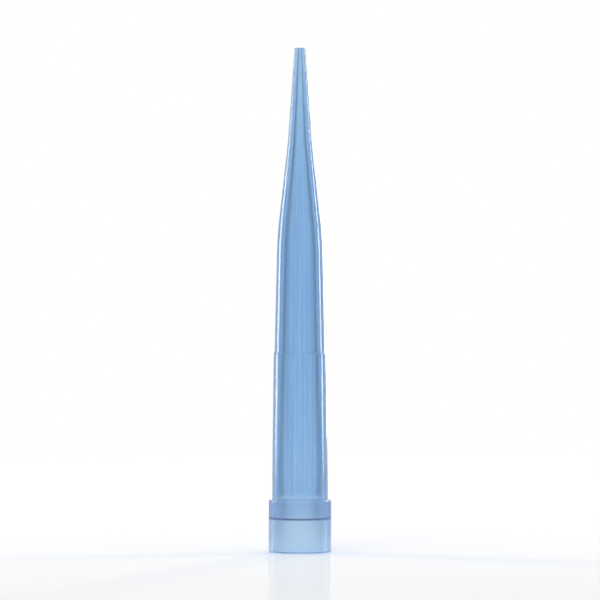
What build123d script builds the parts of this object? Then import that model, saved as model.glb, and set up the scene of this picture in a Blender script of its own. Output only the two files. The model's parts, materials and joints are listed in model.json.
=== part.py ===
from build123d import *

import os
from math import radians, tan

os.makedirs("parts", exist_ok=True)

# A 1000 microlitre pipette tip, injection moulded in one piece of polypropylene.
# It stands on the flat rim of its mouth with the point up. Millimetres and degrees.
# Heights are measured up from the mouth rim, Z = 0, along the tip's own axis.
# Going up: collar, parallel neck, barrel, chamber, taper and nozzle.

# Lengths along the axis
tip_length = 71.0
collar_length = 7.3  # from the mouth to the shoulder that hangs in a rack
neck_length = 3.0  # the parallel neck beyond the shoulder, which a rack's hole takes
barrel_end = 28.0  # the height where the barrel jogs inwards to the chamber
taper_length = 13.0  # the steeper part between the chamber and the nozzle
nozzle_length = 13.5  # the slender end, from the taper to the point

# The socket for the pipette's shaft
seal_diameter = 6.8  # the short parallel land that grips and seals on the shaft
seal_length = 4.0
seal_inset = 0.7  # from the shoulder up to the start of the land
guide_opening = 0.1  # how much wider in radius the guide is at its foot than the land
band_length = 2.7  # the collar's thick band, from the funnel up to the shoulder
funnel_width = 0.3  # the radial width of the 45 degree funnel into the guide
mouth_draft = 1.2
mouth_chamfer = 0.15

# Walls
skirt_wall = 0.54  # the collar's skirt, at the mouth
neck_wall = 0.52
body_wall = 0.62  # barrel and chamber
nozzle_root_wall = 0.52
point_wall = 0.35

# Slopes and widths of the outside and the bore
collar_draft = 0.3
barrel_draft = 1.15
barrel_jog = 0.12  # the step inwards of both faces at the end of the barrel
chamber_draft = 1.35
nozzle_draft = 3.4
orifice_diameter = 0.8

# Rounded edges and the radii that blend the slopes into each other
rim_round = 0.15
shoulder_round = 0.12
point_round = 0.1
knee_blend = 60.0  # from the chamber into the taper
waist_blend = 60.0  # from the taper into the nozzle


def narrowing(length, degrees):
    """How much a radius shrinks over a length at this draft angle."""
    return length * tan(radians(degrees))


# Heights worked out from the lengths
neck_end = collar_length + neck_length
band_start = collar_length - band_length
guide_start = band_start + funnel_width
seal_start = collar_length + seal_inset
seal_end = seal_start + seal_length
jog_end = barrel_end + barrel_jog
nozzle_start = tip_length - nozzle_length
chamber_end = nozzle_start - taper_length

# Radii of the bore, from the land out to the mouth and in to the chamber's end
seal_radius = seal_diameter / 2
guide_radius = seal_radius + guide_opening
skirt_radius = guide_radius + funnel_width
mouth_radius = skirt_radius + narrowing(band_start, mouth_draft)
barrel_bore = seal_radius - narrowing(barrel_end - seal_end, barrel_draft)
chamber_bore = barrel_bore - barrel_jog
knee_bore = chamber_bore - narrowing(chamber_end - jog_end, chamber_draft)

# Radii of the bore at the nozzle, from the orifice out to the nozzle's root
orifice_radius = orifice_diameter / 2
waist_bore = orifice_radius + narrowing(nozzle_length, nozzle_draft)

# Radii of the outside: each is the bore's radius and its own wall
rim_radius = mouth_radius + skirt_wall
shoulder_radius = rim_radius - narrowing(collar_length, collar_draft)
neck_radius = seal_radius + neck_wall
barrel_radius = barrel_bore + body_wall
chamber_radius = chamber_bore + body_wall
knee_radius = knee_bore + body_wall
waist_radius = waist_bore + nozzle_root_wall
point_radius = orifice_radius + point_wall

# Half sections in (radius, height), each closed along the axis
outside = [
    (0, 0),
    (rim_radius, 0),
    (shoulder_radius, collar_length),
    (neck_radius, collar_length),
    (neck_radius, neck_end),
    (barrel_radius, barrel_end),
    (chamber_radius, jog_end),
    (knee_radius, chamber_end),
    (waist_radius, nozzle_start),
    (point_radius, tip_length),
    (0, tip_length),
]
bore = [
    (0, 0),
    (mouth_radius + mouth_chamfer, 0),
    (mouth_radius, mouth_chamfer),
    (skirt_radius, band_start),
    (guide_radius, guide_start),
    (seal_radius, seal_start),
    (seal_radius, seal_end),
    (barrel_bore, barrel_end),
    (chamber_bore, jog_end),
    (knee_bore, chamber_end),
    (waist_bore, nozzle_start),
    (orifice_radius, tip_length),
    (0, tip_length),
]


def corner_at(sketch, radius, height):
    """The corner of a half section that lies at this radius and height."""
    return sketch.vertices().sort_by_distance((radius, height))[0]


with BuildPart() as pipette_tip:
    with BuildSketch(Plane.XZ) as outer_section:
        with BuildLine():
            Polyline(*outside, close=True)
        make_face()
        fillet(corner_at(outer_section, knee_radius, chamber_end), knee_blend)
        fillet(corner_at(outer_section, waist_radius, nozzle_start), waist_blend)
    revolve(axis=Axis.Z)
    with BuildSketch(Plane.XZ) as bore_section:
        with BuildLine():
            Polyline(*bore, close=True)
        make_face()
        fillet(corner_at(bore_section, knee_bore, chamber_end), knee_blend)
        fillet(corner_at(bore_section, waist_bore, nozzle_start), waist_blend)
    revolve(axis=Axis.Z, mode=Mode.SUBTRACT)

    rings = pipette_tip.edges().filter_by(GeomType.CIRCLE)
    rim_edge = rings.group_by(Axis.Z)[0].sort_by(SortBy.RADIUS)[-1]
    point_edge = rings.group_by(Axis.Z)[-1].sort_by(SortBy.RADIUS)[-1]
    shoulder_edge = rings.filter_by_position(
        Axis.Z, collar_length - shoulder_round, collar_length + shoulder_round
    ).sort_by(SortBy.RADIUS)[-1]
    fillet(rim_edge, rim_round)
    fillet(shoulder_edge, shoulder_round)
    fillet(point_edge, point_round)

pipette_tip.part.label = "pipette_tip"
export_step(pipette_tip.part, "parts/pipette_tip.step")
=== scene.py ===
"""A 1000 microlitre pipette tip in translucent blue polypropylene, standing on a pale floor.

The tip is one moulding: a body of revolution with a collar, a parallel neck, a barrel, a chamber,
a taper and a nozzle, and the bore that follows them. It stands on the flat rim of its mouth with
the point up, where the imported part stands. Sizes are in millimetres and degrees unless their own
words say otherwise. Meshes, lamps and the camera are in metres, as Blender keeps them.
"""

import json
import logging
from dataclasses import dataclass
from enum import Enum
from math import cos, log, pi, radians, sin, tan

import bpy
import numpy as np
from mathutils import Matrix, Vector
from numpy.typing import NDArray


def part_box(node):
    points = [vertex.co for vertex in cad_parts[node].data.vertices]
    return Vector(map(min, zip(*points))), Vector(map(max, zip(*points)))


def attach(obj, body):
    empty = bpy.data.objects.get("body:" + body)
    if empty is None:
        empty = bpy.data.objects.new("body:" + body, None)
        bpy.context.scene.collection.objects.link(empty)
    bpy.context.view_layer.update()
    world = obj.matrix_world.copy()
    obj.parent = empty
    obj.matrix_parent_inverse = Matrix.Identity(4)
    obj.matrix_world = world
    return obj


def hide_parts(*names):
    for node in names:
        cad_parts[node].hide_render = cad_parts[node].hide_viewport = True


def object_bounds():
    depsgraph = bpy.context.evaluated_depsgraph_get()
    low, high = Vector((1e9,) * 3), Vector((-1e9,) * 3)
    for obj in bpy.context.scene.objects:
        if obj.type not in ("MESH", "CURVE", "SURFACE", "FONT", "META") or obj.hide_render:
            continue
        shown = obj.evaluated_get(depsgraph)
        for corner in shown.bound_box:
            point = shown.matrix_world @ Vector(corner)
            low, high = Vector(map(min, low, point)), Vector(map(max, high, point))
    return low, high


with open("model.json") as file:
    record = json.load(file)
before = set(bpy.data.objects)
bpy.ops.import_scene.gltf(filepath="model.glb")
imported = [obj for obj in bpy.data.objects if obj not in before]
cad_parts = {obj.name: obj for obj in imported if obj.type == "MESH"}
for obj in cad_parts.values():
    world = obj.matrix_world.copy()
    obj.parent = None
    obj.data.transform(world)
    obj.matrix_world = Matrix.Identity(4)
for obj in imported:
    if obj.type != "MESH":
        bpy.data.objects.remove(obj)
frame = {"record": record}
cad_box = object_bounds()

MM = 0.001
GRAIN = "mould_grain"

Array = NDArray[np.float64]
Span = tuple[float, float]
Colour = tuple[float, float, float]
Opaque = tuple[float, float, float, float]
Socket = bpy.types.NodeSocket
Feed = Socket | float | tuple[float, ...]

WHITE: Opaque = (1.0, 1.0, 1.0, 1.0)

report = logging.getLogger("pipette_tip")


def narrowing(length: float, degrees: float) -> float:
    """Says how much a radius shrinks over a length at this draft angle."""
    return length * tan(radians(degrees))


def outward(azimuth: float, elevation: float) -> Vector:
    """Gives the unit vector from the object towards a direction, for the lamps and the camera."""
    turn, rise = radians(azimuth), radians(elevation)
    return Vector((sin(turn) * cos(rise), -cos(turn) * cos(rise), sin(rise)))


def opaque(colour: Colour) -> Opaque:
    """Adds the full cover that Blender wants as a colour's fourth number."""
    return (*colour, 1.0)


class Steel(Enum):
    """How the mould's steel was finished, as the share of grain that it leaves on the plastic."""

    POLISHED = 0.0
    SPARK_ERODED = 1.0


@dataclass(frozen=True)
class Corner:
    """One corner of the tip's half section.

    Attributes:
        radius: Distance from the axis.
        height: Distance up from the mouth rim.
        rounding: Radius of the arc that rounds the corner.
        onward: The steel that moulds the run from this corner to the next.
    """

    radius: float
    height: float
    rounding: float
    onward: Steel = Steel.POLISHED


@dataclass(frozen=True)
class HalfSection:
    """A closed outline in (radius, height) with every corner rounded.

    Attributes:
        corners: The corners, anticlockwise with the axis on the left.
        arc_points: Points along each rounded corner, with both its ends.
        run_points: Points along each straight run, between its ends.
    """

    corners: tuple[Corner, ...]
    arc_points: int = 9
    run_points: int = 10

    def points(self) -> Array:
        """Works out the outline as whole arrays, with one row for each corner.

        An arc of radius r that rounds a turn of angle a starts r tan(a / 2) before its corner,
        on the run that comes in. Its centre lies r to the side that the outline turns to, and
        the point at share s of the arc is the start turned about that centre by s times a. Run
        points lie at shares (1 - cos t) / 2 for t from 0 to pi, so they crowd at a run's ends.

        Returns:
            The points in order, as an array of (count, 2).
        """
        corner = np.array([(c.radius, c.height) for c in self.corners])
        rounding = np.array([[c.rounding] for c in self.corners])
        onward = np.roll(corner, -1, axis=0) - corner
        onward /= np.linalg.norm(onward, axis=1, keepdims=True)
        inward = np.roll(onward, 1, axis=0)
        across = inward[:, :1] * onward[:, 1:] - inward[:, 1:] * onward[:, :1]
        along = np.sum(inward * onward, axis=1, keepdims=True)
        turn = np.arctan2(across, along)
        start = corner - inward * rounding * np.tan(np.abs(turn) / 2)
        aside = np.stack([-inward[:, 1], inward[:, 0]], axis=1) * np.sign(turn)
        centre = start + aside * rounding
        angle = turn * np.linspace(0, 1, self.arc_points)
        spoke = (start - centre)[:, None, :]
        turned = [
            spoke[..., 0] * np.cos(angle) - spoke[..., 1] * np.sin(angle),
            spoke[..., 0] * np.sin(angle) + spoke[..., 1] * np.cos(angle),
        ]
        arcs = centre[:, None, :] + np.stack(turned, axis=2)
        share = (1 - np.cos(np.linspace(0, pi, self.run_points + 2)[1:-1])) / 2
        run_start = arcs[:, -1:, :]
        run_end = np.roll(arcs[:, :1, :], -1, axis=0)
        runs = run_start + (run_end - run_start) * share[None, :, None]
        return np.concatenate([arcs, runs], axis=1).reshape(-1, 2)

    def grain(self) -> Array:
        """Gives each point its steel's grain, which changes evenly along a rounded corner.

        Returns:
            One number for each point, from 0 for polished to 1 for spark eroded.
        """
        after = np.array([[c.onward.value] for c in self.corners])
        before = np.roll(after, 1, axis=0)
        arcs = before + (after - before) * np.linspace(0, 1, self.arc_points)
        runs = np.repeat(after, self.run_points, axis=1)
        return np.concatenate([arcs, runs], axis=1).ravel()


def mesh_from_grid(name: str, points: Array, closed: tuple[bool, bool]) -> bpy.types.Object:
    """Puts a grid of points into a mesh of four-sided faces.

    The face at (i, j) joins the points (i, j), (i, j + 1), (i + 1, j + 1) and (i + 1, j), and on
    a closed side the last row or column is joined to the first.

    Args:
        name: Name of the new object.
        points: Points in metres, as an array of (rows, columns, 3).
        closed: Whether the grid closes on itself by rows and by columns.

    Returns:
        The new object, at the origin, with smooth faces.
    """
    rows, columns = points.shape[:2]
    index = np.arange(rows * columns).reshape(rows, columns)
    by_rows, by_columns = closed
    if by_rows:
        index = np.concatenate([index, index[:1]], axis=0)
    if by_columns:
        index = np.concatenate([index, index[:, :1]], axis=1)
    faces = np.stack([index[:-1, :-1], index[:-1, 1:], index[1:, 1:], index[1:, :-1]], axis=2)
    mesh = bpy.data.meshes.new(name)
    mesh.from_pydata(points.reshape(-1, 3).tolist(), [], faces.reshape(-1, 4).tolist())
    mesh.shade_smooth()
    piece = bpy.data.objects.new(name, mesh)
    bpy.context.scene.collection.objects.link(piece)
    return piece


class NodeSheet:
    """The node tree of a material or a world, with one short call for each node.

    Where a node has more than one socket of a name, they are told apart by number. A Mix node
    takes its share at 0, its two numbers at 2 and 3 and its two colours at 6 and 7.
    """

    def __init__(self, owner: bpy.types.Material | bpy.types.World) -> None:
        """Empties the owner's node tree.

        Args:
            owner: The material or the world to work on.
        """
        owner.use_nodes = True
        self.tree = owner.node_tree
        self.tree.nodes.clear()

    def add(self, kind: str, inputs: dict[str | int, Feed], **settings: str) -> bpy.types.Node:
        """Adds a node, sets it and joins it.

        Args:
            kind: Blender's name for the node's type, without ShaderNode in front.
            inputs: A value, or the output socket to join, for each input that is set.
            settings: The node's own properties.

        Returns:
            The new node.
        """
        node = self.tree.nodes.new("ShaderNode" + kind)
        for key, value in settings.items():
            setattr(node, key, value)
        for key, value in inputs.items():
            if isinstance(value, Socket):
                self.tree.links.new(value, node.inputs[key])
            else:
                node.inputs[key].default_value = value
        return node

    def math(self, operation: str, first: Feed, second: Feed) -> Socket:
        """Gives a socket with the result of Blender's operation on two numbers."""
        return self.add("Math", {0: first, 1: second}, operation=operation).outputs["Value"]

    def number(self, share: Feed, first: Feed, second: Feed) -> Socket:
        """Gives a socket with a number that goes from first to second by share."""
        return self.add("Mix", {0: share, 2: first, 3: second}).outputs[0]

    def colour(self, share: Feed, first: Feed, second: Feed) -> Socket:
        """Gives a socket with a colour that goes from first to second by share."""
        return self.add("Mix", {0: share, 6: first, 7: second}, data_type="RGBA").outputs[2]

    def surface(self, share: Feed, first: bpy.types.Node, second: bpy.types.Node) -> bpy.types.Node:
        """Gives a shader that goes from the first shader to the second by share."""
        return self.add("MixShader", {0: share, 1: first.outputs[0], 2: second.outputs[0]})

    def ramp(self, share: Feed, reach: Span, values: Span) -> Socket:
        """Eases from one value to another.

        Args:
            share: The number to go by.
            reach: Where share starts and ends its way.
            values: What the result is at the start and at the end.

        Returns:
            A socket that stays at its first value before the reach and at its last beyond it.
        """
        start, end = reach
        first, last = values
        inputs = {"Value": share, "From Min": start, "From Max": end, "To Min": first, "To Max": last}
        return self.add("MapRange", inputs, interpolation_type="SMOOTHSTEP").outputs["Result"]

    def noise(self, place: Socket, size: Colour, detail: float, fineness: float = 0.55) -> Socket:
        """Makes even noise.

        Args:
            place: A socket with the place to make it for.
            size: How much its blots measure along X, Y and Z.
            detail: How many times finer noise is laid over it.
            fineness: Strength of each finer noise, beside the one before.

        Returns:
            A socket from 0 to 1.
        """
        scale = tuple(1 / (side * MM) for side in size)
        spot = self.add("Mapping", {"Vector": place, "Scale": scale}).outputs["Vector"]
        inputs = {"Vector": spot, "Scale": 1.0, "Detail": detail, "Roughness": fineness}
        return self.add("TexNoise", inputs).outputs["Fac"]

    def bent(self) -> Socket:
        """Picks out the light that the clear wall bends or mirrors.

        Returns:
            A socket that is 1 for that light and 0 for any other.
        """
        path = self.add("LightPath", {}).outputs
        return self.math("MAXIMUM", path["Is Transmission Ray"], path["Is Glossy Ray"])


@dataclass(frozen=True)
class BluePolypropylene:
    """Translucent blue polypropylene as it leaves the mould.

    The wall takes up red light first, so it is pale where it is looked straight through and deep
    blue where it is seen on edge. A share of the light is scattered by the plastic's own crystals,
    which gives the slight milkiness.

    Attributes:
        slot: The record's material slot.
        passed: Share of red, green and blue light that one millimetre of the plastic lets by.
        milk: Colour of the light that the plastic scatters.
        streak: Colour of the paler streaks that the flow into the mould leaves.
        streak_spread: Levels of the noise at which a streak starts and is at its palest.
        frost: Colour where spark-eroded steel leaves the surface matt.
        veil: Share of a lamp's light that each face of the wall lets by on its way to the rest.
        clearness: Share of light that goes through and isn't scattered.
        ior: Refractive index.
        gloss: Roughness on polished steel, at the smoothest and the dullest.
        matt: Roughness on spark-eroded steel.
        streak_size: Width and length of the flow streaks.
        streak_detail: Times that finer streaks are laid over the streaks.
        grain_size: Width of the spark-eroded grain.
        grain_detail: Times that finer grain is laid over the grain.
        grain_depth: Depth of the spark-eroded grain.
        ripple_depth: Depth of the faint ripple that flow and shrinkage leave.
    """

    slot: str = "blue_polypropylene"
    passed: Colour = (0.51, 0.68, 0.86)
    milk: Colour = (0.64, 0.80, 0.93)
    streak: Colour = (0.74, 0.865, 0.95)
    streak_spread: Span = (0.35, 0.65)
    frost: Colour = (0.985, 0.993, 1.0)
    veil: Colour = (0.82, 0.91, 0.97)
    clearness: float = 0.94
    ior: float = 1.49
    gloss: Span = (0.10, 0.18)
    matt: float = 0.20
    streak_size: Span = (0.9, 14.0)
    streak_detail: float = 3.0
    grain_size: float = 0.09
    grain_detail: float = 2.0
    grain_depth: float = 0.004
    ripple_depth: float = 0.004

    def material(self) -> bpy.types.Material:
        """Builds the material: one clear shader, with the absorption inside the wall.

        Returns:
            The new material.
        """
        material = bpy.data.materials.new(self.slot)
        sheet = NodeSheet(material)
        place = sheet.add("TexCoord", {}).outputs["Object"]
        grain = sheet.add("Attribute", {}, attribute_name=GRAIN).outputs["Fac"]
        width, length = self.streak_size
        streaks = sheet.noise(place, (width, width, length), self.streak_detail)
        pits = sheet.noise(place, (self.grain_size,) * 3, self.grain_detail)
        paler = sheet.ramp(streaks, self.streak_spread, (0.0, 1.0))
        flow = sheet.colour(paler, opaque(self.milk), opaque(self.streak))
        polished = sheet.number(streaks, *self.gloss)
        ripple = sheet.add("Bump", {"Height": streaks, "Distance": self.ripple_depth * MM})
        relief = sheet.add("Bump", {
            "Height": sheet.math("MULTIPLY", pits, grain),
            "Distance": self.grain_depth * MM,
            "Normal": ripple.outputs["Normal"],
        })
        plastic = sheet.add("BsdfPrincipled", {
            "Base Color": sheet.colour(grain, flow, opaque(self.frost)),
            "Roughness": sheet.number(grain, polished, self.matt),
            "IOR": self.ior,
            "Transmission Weight": self.clearness,
            "Normal": relief.outputs["Normal"],
        })
        absorbed, density = self.absorption()
        inside = sheet.add("VolumeAbsorption", {"Color": absorbed, "Density": density})
        lamp = sheet.add("LightPath", {}).outputs["Is Shadow Ray"]
        veil = sheet.add("BsdfTransparent", {"Color": opaque(self.veil)})
        wall = sheet.surface(lamp, plastic, veil)
        sheet.add("OutputMaterial", {"Surface": wall.outputs[0], "Volume": inside.outputs[0]})
        return material

    def absorption(self) -> tuple[Opaque, float]:
        """Turns what one millimetre lets by into a colour and a density.

        The light left after a distance d is exp(-(1 - colour) density d), so each colour's
        share of the density is -ln(passed) over a millimetre.

        Returns:
            The colour and the density for a Volume Absorption.
        """
        taken = [-log(share) / MM for share in self.passed]
        density = max(taken)
        return opaque(tuple(1 - share / density for share in taken)), density


@dataclass(frozen=True)
class PipetteTip:
    """The tip, which is one piece. Heights go up from the mouth rim, along the axis.

    Attributes:
        tip_length: From the mouth rim to the point.
        rim_radius: Outside, at the mouth.
        collar_length: From the mouth to the shoulder that hangs in a rack.
        neck_radius: Outside of the parallel neck that a rack's hole takes.
        neck_end: Height where the parallel neck ends.
        seal_radius: The land in the bore that seals on the pipette's shaft.
        seal_start: Height where the land starts.
        seal_end: Height where the land ends.
        finish: What the tip is moulded in.
        barrel_end: Height where both faces jog inwards by barrel_jog.
        barrel_jog: Width and length of that jog.
        taper_length: The steeper part between the chamber and the nozzle.
        nozzle_length: The slender end, from the taper to the point.
        band_length: The collar's thick band, from the funnel up to the shoulder.
        funnel_width: Radial width of the 45 degree funnel into the guide.
        guide_opening: How much wider in radius the guide is at its foot than the land.
        mouth_chamfer: The chamfer inside the mouth rim.
        orifice_radius: The bore, at the point.
        skirt_wall: Wall of the collar's skirt, at the mouth.
        body_wall: Wall of the barrel and the chamber.
        nozzle_root_wall: Wall where the taper ends and the nozzle starts.
        point_wall: Wall at the point.
        mouth_draft: Slope of the skirt's bore.
        collar_draft: Slope of the collar's outside.
        barrel_draft: Slope of the barrel's bore.
        chamber_draft: Slope of the chamber's bore.
        nozzle_draft: Slope of the nozzle's bore.
        rim_round: Rounding of the mouth rim's outer edge.
        shoulder_round: Rounding of the shoulder's outer edge.
        point_round: Rounding of the point's outer edge.
        edge_round: Rounding of the jog, the funnel, the mouth, the orifice and the shoulder's root.
        fair_round: The long curves at the ends of the neck and the land, towards the barrel.
        lead_round: The long curve from the guide into the land.
        bend_blend: Radius that blends the chamber, the taper and the nozzle into each other.
        segments: Faces around the axis.
    """

    tip_length: float
    rim_radius: float
    collar_length: float
    neck_radius: float
    neck_end: float
    seal_radius: float
    seal_start: float
    seal_end: float
    finish: BluePolypropylene
    barrel_end: float = 28.0
    barrel_jog: float = 0.12
    taper_length: float = 13.0
    nozzle_length: float = 13.5
    band_length: float = 2.7
    funnel_width: float = 0.3
    guide_opening: float = 0.1
    mouth_chamfer: float = 0.15
    orifice_radius: float = 0.4
    skirt_wall: float = 0.54
    body_wall: float = 0.62
    nozzle_root_wall: float = 0.52
    point_wall: float = 0.35
    mouth_draft: float = 1.2
    collar_draft: float = 0.3
    barrel_draft: float = 1.15
    chamber_draft: float = 1.35
    nozzle_draft: float = 3.4
    rim_round: float = 0.15
    shoulder_round: float = 0.12
    point_round: float = 0.1
    edge_round: float = 0.05
    fair_round: float = 8.0
    lead_round: float = 4.0
    bend_blend: float = 60.0
    segments: int = 192

    @classmethod
    def in_frame(cls, node: str, finish: BluePolypropylene) -> "PipetteTip":
        """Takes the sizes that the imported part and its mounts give.

        Args:
            node: The CAD node that the tip stands for.
            finish: What the tip is moulded in.

        Returns:
            The tip, at the CAD node's size.
        """
        low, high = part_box(node)
        mounts = {mount["name"]: mount for mount in frame["record"]["mounts"]}
        socket, neck = mounts["pipette_socket"], mounts["rack_neck"]
        socket_middle = socket["pos_m"][2] / MM
        shoulder = mounts["rack_shoulder"]["pos_m"][2] / MM
        return cls(
            tip_length=(high.z - low.z) / MM,
            rim_radius=(high.x - low.x) / 2 / MM,
            collar_length=shoulder,
            neck_radius=neck["dims"]["r_mm"],
            neck_end=shoulder + neck["dims"]["length_mm"],
            seal_radius=socket["dims"]["r_mm"],
            seal_start=socket_middle - socket["dims"]["length_mm"] / 2,
            seal_end=socket_middle + socket["dims"]["length_mm"] / 2,
            finish=finish,
        )

    def section(self) -> HalfSection:
        """Lays out the half section: up the outside from the rim, and down the bore.

        Returns:
            The closed outline of the wall.
        """
        band_start = self.collar_length - self.band_length
        jog_end = self.barrel_end + self.barrel_jog
        nozzle_start = self.tip_length - self.nozzle_length
        chamber_end = nozzle_start - self.taper_length
        shoulder = self.rim_radius - narrowing(self.collar_length, self.collar_draft)
        mouth = self.rim_radius - self.skirt_wall
        skirt = mouth - narrowing(band_start, self.mouth_draft)
        guide = self.seal_radius + self.guide_opening
        barrel = self.seal_radius - narrowing(self.barrel_end - self.seal_end, self.barrel_draft)
        chamber = barrel - self.barrel_jog
        knee = chamber - narrowing(chamber_end - jog_end, self.chamber_draft)
        waist = self.orifice_radius + narrowing(self.nozzle_length, self.nozzle_draft)
        edge, fair, bend = self.edge_round, self.fair_round, self.bend_blend
        matt = Steel.SPARK_ERODED
        return HalfSection((
            Corner(self.rim_radius, 0, self.rim_round, matt),
            Corner(shoulder, self.collar_length, self.shoulder_round),
            Corner(self.neck_radius, self.collar_length, edge),
            Corner(self.neck_radius, self.neck_end, fair),
            Corner(barrel + self.body_wall, self.barrel_end, edge),
            Corner(chamber + self.body_wall, jog_end, edge),
            Corner(knee + self.body_wall, chamber_end, bend),
            Corner(waist + self.nozzle_root_wall, nozzle_start, bend),
            Corner(self.orifice_radius + self.point_wall, self.tip_length, self.point_round),
            Corner(self.orifice_radius, self.tip_length, edge),
            Corner(waist, nozzle_start, bend),
            Corner(knee, chamber_end, bend),
            Corner(chamber, jog_end, edge),
            Corner(barrel, self.barrel_end, edge),
            Corner(self.seal_radius, self.seal_end, fair),
            Corner(self.seal_radius, self.seal_start, self.lead_round, matt),
            Corner(guide, band_start + self.funnel_width, edge, matt),
            Corner(guide + self.funnel_width, band_start, edge, matt),
            Corner(mouth, self.mouth_chamfer, edge),
            Corner(mouth + self.mouth_chamfer, 0, edge),
        ))

    def build(self, name: str) -> bpy.types.Object:
        """Turns the half section about the axis.

        The point of the section at (r, h) goes to (r cos a, r sin a, h) for each angle a, so the
        surface is a function of the place along the section and of the angle, closed both ways.

        Args:
            name: Name of the piece.

        Returns:
            The tip's wall as one closed mesh, with its steel's grain as an attribute.
        """
        section = self.section()
        radius, height = section.points().T[:, :, None] * MM
        angle = np.linspace(0, 2 * pi, self.segments, endpoint=False)[None, :]
        around = np.broadcast_arrays(radius * np.cos(angle), radius * np.sin(angle), height)
        piece = mesh_from_grid(name, np.stack(around, axis=2), (True, True))
        grain = piece.data.attributes.new(GRAIN, "FLOAT", "POINT")
        grain.data.foreach_set("value", np.repeat(section.grain(), self.segments))
        return piece

    def dress(self, piece: bpy.types.Object) -> None:
        """Gives the piece its plastic."""
        piece.data.materials.append(self.finish.material())


@dataclass(frozen=True)
class PanelRing:
    """A ring of white panels round the object with greyer gaps between them.

    Only light that the clear wall bends or mirrors comes from it. It draws the darker and lighter
    lines along the edges of the wall, as a studio does whose white backdrop has gaps.

    Attributes:
        panels: Number of panels. One stands behind the object, as the camera sees it.
        gap: Strength of the light from the gaps, beside the panels' 1.
        reach: Half the width of a panel without and with its soft edges, in degrees.
    """

    panels: int = 16
    gap: float = 0.18
    reach: Span = (5.5, 9.5)

    def strength(self, sheet: NodeSheet, place: Socket) -> Socket:
        """Gives the ring's strength by the angle from the middle of the nearest panel.

        Args:
            sheet: The nodes to add to.
            place: A socket with a direction, or a place on the floor, from the object.

        Returns:
            A socket from gap to 1.
        """
        way = sheet.add("SeparateXYZ", {0: place}).outputs
        turn = sheet.math("ARCTAN2", way["X"], way["Y"])
        off = sheet.math("PINGPONG", turn, pi / self.panels)
        inner, outer = self.reach
        return sheet.ramp(off, (radians(inner), radians(outer)), (1.0, self.gap))


@dataclass(frozen=True)
class StudioFloor:
    """A pale, softly glossy table that fades into the white surround.

    Attributes:
        ring: What bent and mirrored light finds in place of the table's far part.
        colour: The table's own colour.
        shine: Share of light that it mirrors close to the object, for a look along it.
        shine_reach: Distance from the object at which it no longer mirrors.
        ior: Refractive index of its lacquer, which mirrors less for a look down on it.
        roughness: How blurred the mirror image is.
        fade: Distances at which the table starts and ends its change into the surround.
        ring_reach: Distances of that change for bent and mirrored light.
        half_width: From the middle to the table's edge.
        drop: The hair by which the table lies under the rim, so that no faces coincide.
    """

    ring: PanelRing
    colour: Colour = (0.90, 0.905, 0.912)
    shine: float = 0.32
    shine_reach: float = 200.0
    ior: float = 1.45
    roughness: float = 0.06
    fade: Span = (40.0, 320.0)
    ring_reach: Span = (20.0, 70.0)
    half_width: float = 20000.0
    drop: float = 0.01

    def build(self) -> bpy.types.Object:
        """Makes the table, which is level, from a grid of two by two points.

        Returns:
            The table.
        """
        side = np.array([-1.0, 1.0]) * self.half_width * MM
        across, along = np.meshgrid(side, side)
        level = np.full_like(across, -self.drop * MM)
        corners = np.stack([across, along, level], axis=2)
        table = mesh_from_grid("studio_floor", corners, (False, False))
        table.data.materials.append(self.material())
        return table

    def material(self) -> bpy.types.Material:
        """Builds the table's material.

        Returns:
            A matt and a mirroring shader mixed by distance, which fade far out to plain white, or
            to the ring of panels for bent and mirrored light.
        """
        material = bpy.data.materials.new("studio_floor")
        sheet = NodeSheet(material)
        place = sheet.add("TexCoord", {}).outputs["Object"]
        away = sheet.add("VectorMath", {0: place}, operation="LENGTH").outputs["Value"]
        near = sheet.ramp(away, (0.0, self.shine_reach * MM), (self.shine, 0.0))
        slant = sheet.add("Fresnel", {"IOR": self.ior}).outputs["Fac"]
        matt = sheet.add("BsdfDiffuse", {"Color": opaque(self.colour)})
        mirror = sheet.add("BsdfAnisotropic", {"Color": WHITE, "Roughness": self.roughness})
        table = sheet.surface(sheet.math("MULTIPLY", near, slant), matt, mirror)
        bent = sheet.bent()
        far, ring_far = (
            sheet.ramp(away, (start * MM, end * MM), (0.0, 1.0))
            for start, end in (self.fade, self.ring_reach)
        )
        strength = sheet.number(bent, 1.0, self.ring.strength(sheet, place))
        glow = sheet.add("Emission", {"Color": WHITE, "Strength": strength})
        faded = sheet.surface(sheet.number(bent, far, ring_far), table, glow)
        sheet.add("OutputMaterial", {"Surface": faded.outputs[0]})
        return material


@dataclass(frozen=True)
class Surround:
    """The white room: pure white to look at, and a gentler light on what stands in it.

    Attributes:
        ring: What bent and mirrored light finds in place of the room.
        fill: Strength of the light that it gives.
    """

    ring: PanelRing
    fill: float = 0.60

    def build(self) -> None:
        """Makes the world: white to look at, and the ring of panels for bent and mirrored light."""
        world = bpy.data.worlds.new("white_surround")
        bpy.context.scene.world = world
        sheet = NodeSheet(world)
        way = sheet.add("TexCoord", {}).outputs["Generated"]
        sight = sheet.add("LightPath", {}).outputs["Is Camera Ray"]
        plain = sheet.number(sight, self.fill, 1.0)
        strength = sheet.number(sheet.bent(), plain, self.ring.strength(sheet, way))
        light = sheet.add("Background", {"Color": WHITE, "Strength": strength})
        sheet.add("OutputWorld", {"Surface": light.outputs[0]})


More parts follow.
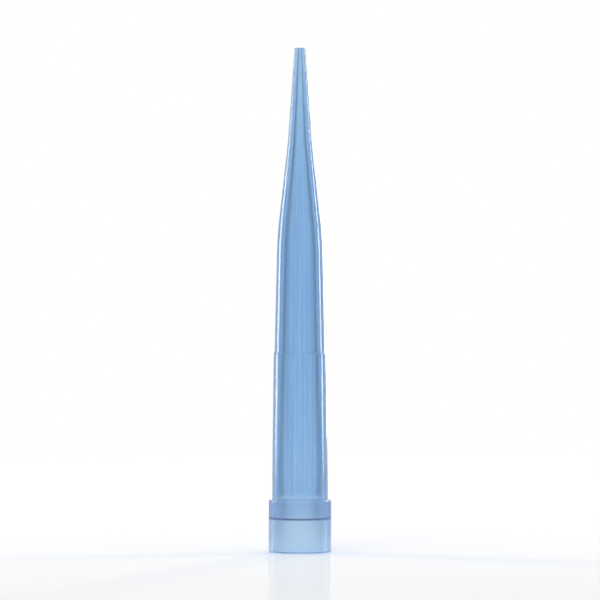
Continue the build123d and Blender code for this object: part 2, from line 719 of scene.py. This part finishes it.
@dataclass(frozen=True)
class Softbox:
    """A rectangular soft lamp that faces the middle of the object.

    Attributes:
        name: Name of the lamp.
        azimuth: Direction that it stands in: 0 is behind the camera and 90 to its right.
        elevation: Direction above the floor.
        distance: From the object, in metres.
        width: Across, in metres.
        height: Upwards, in metres.
        power: In watts.
    """

    name: str
    azimuth: float
    elevation: float
    distance: float
    width: float
    height: float
    power: float

    def build(self, target: Vector) -> bpy.types.Object:
        """Hangs the lamp.

        Args:
            target: The point that it faces.

        Returns:
            The lamp, which isn't seen by the camera, nor through the clear wall.
        """
        data = bpy.data.lights.new(self.name, "AREA")
        data.shape = "RECTANGLE"
        data.size = self.width
        data.size_y = self.height
        data.energy = self.power
        lamp = bpy.data.objects.new(self.name, data)
        away = outward(self.azimuth, self.elevation)
        lamp.location = target + away * self.distance
        lamp.rotation_euler = away.to_track_quat("Z", "Y").to_euler()
        lamp.visible_camera = False
        lamp.visible_transmission = False
        bpy.context.scene.collection.objects.link(lamp)
        return lamp


LAMPS = (
    Softbox("left_strip", -122, 18, distance=0.40, width=0.090, height=0.40, power=0.72),
    Softbox("right_strip", 113, 18, distance=0.40, width=0.050, height=0.40, power=0.56),
    Softbox("back_strip", 160, 18, distance=0.40, width=0.050, height=0.40, power=0.48),
    Softbox("front_box", -20, 45, distance=0.90, width=0.60, height=0.60, power=1.9),
)


@dataclass(frozen=True)
class ProductCamera:
    """A long lens, nearly level with the object.

    Attributes:
        lens: Focal length.
        sensor: Width of the square sensor.
        elevation: How far the camera looks down.
        filled: Share of the picture's height that the object takes.
        sight: Nearest and farthest distance that the camera sees, in metres.
    """

    lens: float = 300.0
    sensor: float = 36.0
    elevation: float = 0.8
    filled: float = 0.84
    sight: Span = (0.001, 10.0)

    def build(self, low: Vector, high: Vector) -> bpy.types.Object:
        """Places the camera so that the object fills its share of the picture.

        Args:
            low: Lowest corner of the object.
            high: Highest corner of the object.

        Returns:
            The camera, made the scene's own.
        """
        data = bpy.data.cameras.new("product_camera")
        data.lens = self.lens
        data.sensor_width = self.sensor
        data.clip_start, data.clip_end = self.sight
        camera = bpy.data.objects.new("product_camera", data)
        back = outward(0.0, self.elevation)
        distance = (high.z - low.z) / self.filled * self.lens / self.sensor
        camera.location = (low + high) / 2 + back * distance
        camera.rotation_euler = back.to_track_quat("Z", "Y").to_euler()
        bpy.context.scene.collection.objects.link(camera)
        bpy.context.scene.camera = camera
        return camera


def main() -> None:
    """Builds the tip, its floor, surround, lamps and camera, and reports each."""
    logging.basicConfig(level=logging.INFO, format="%(name)s: %(message)s")
    bpy.context.scene.view_settings.view_transform = "Standard"
    low, high = cad_box

    tip = PipetteTip.in_frame("pipette_tip", BluePolypropylene())
    piece = tip.build("moulded_tip")
    tip.dress(piece)
    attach(piece, "root")
    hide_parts("pipette_tip")
    report.info("%s: %d faces, %.1f mm long", piece.name, len(piece.data.polygons), tip.tip_length)

    ring = PanelRing()
    floor = StudioFloor(ring).build()
    report.info("%s: %.0f m wide", floor.name, floor.dimensions.x)
    Surround(ring).build()
    report.info("%s: %d panels", bpy.context.scene.world.name, ring.panels)
    for lamp in LAMPS:
        lamp.build((low + high) / 2)
        report.info("%s: %.2f W", lamp.name, lamp.power)
    camera = ProductCamera().build(low, high)
    away = camera.location.length
    report.info("%s: %.0f mm lens, %.2f m away", camera.name, camera.data.lens, away)


if __name__ == "__main__":
    main()
